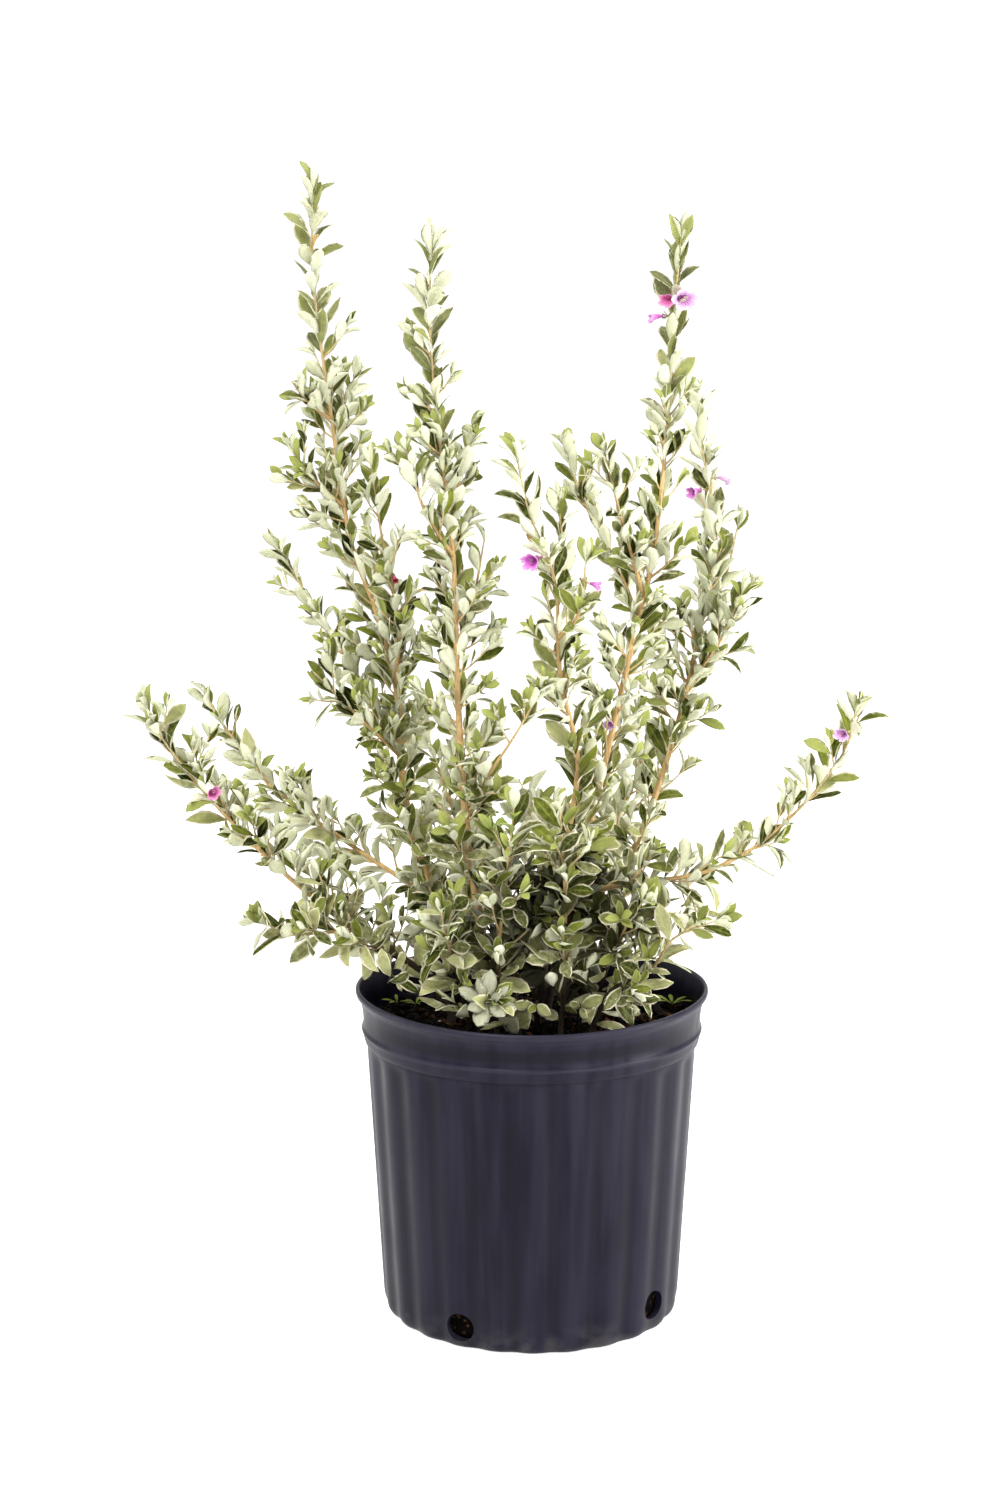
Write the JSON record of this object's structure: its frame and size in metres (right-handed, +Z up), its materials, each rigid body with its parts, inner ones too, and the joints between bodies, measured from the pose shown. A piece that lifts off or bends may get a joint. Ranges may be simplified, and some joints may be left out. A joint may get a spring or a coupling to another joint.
{
  "type": "potted flowering shrub",
  "caption": "Silver-leaved flowering shrub with tall leafy stems and magenta bell blooms, standing in soil in a black fluted nursery pot.",
  "frame": {"origin": "middle of the pot's flat underside, on the surface that it stands on", "axes": "+Z up along the pot's axis, -Y towards the front with a drain hole at each side, +X to the right seen from the front"},
  "size_m": [0.5541, 0.3658, 0.9072],
  "materials": {
    "pot": "satin charcoal plastic",
    "soil": "moist dark bark mix with perlite",
    "leafy_stem": "felted sage-green leaves on tan woody stems",
    "bloom": "soft magenta-pink petals",
    "bud": "closed dark red bud"
  },
  "bodies": {
    "root": {"pot": "pot", "soil": "soil", "stem_left_tall": "leafy_stem", "stem_middle_tall": "leafy_stem", "stem_right_tall": "leafy_stem", "stem_right_back": "leafy_stem", "stem_centre": "leafy_stem", "stem_left_low": "leafy_stem", "stem_left_back": "leafy_stem", "stem_right_low": "leafy_stem", "stem_rim_right": "leafy_stem", "stem_front_left": "leafy_stem", "stem_front_right": "leafy_stem", "stem_front_low": "leafy_stem", "stem_front_left_low": "leafy_stem", "stem_front_right_low": "leafy_stem", "stem_back_left": "leafy_stem", "stem_back_right": "leafy_stem", "stem_back": "leafy_stem", "bloom_centre": "bloom", "bloom_centre_small": "bloom", "bloom_top_right": "bloom", "bloom_top_red": "bloom", "bloom_top_left": "bloom", "bloom_right": "bloom", "bloom_right_faded": "bloom", "bloom_far_right": "bloom", "bloom_far_left": "bloom", "bloom_low": "bloom", "bud_left": "bud"}
  },
  "joints": []
}
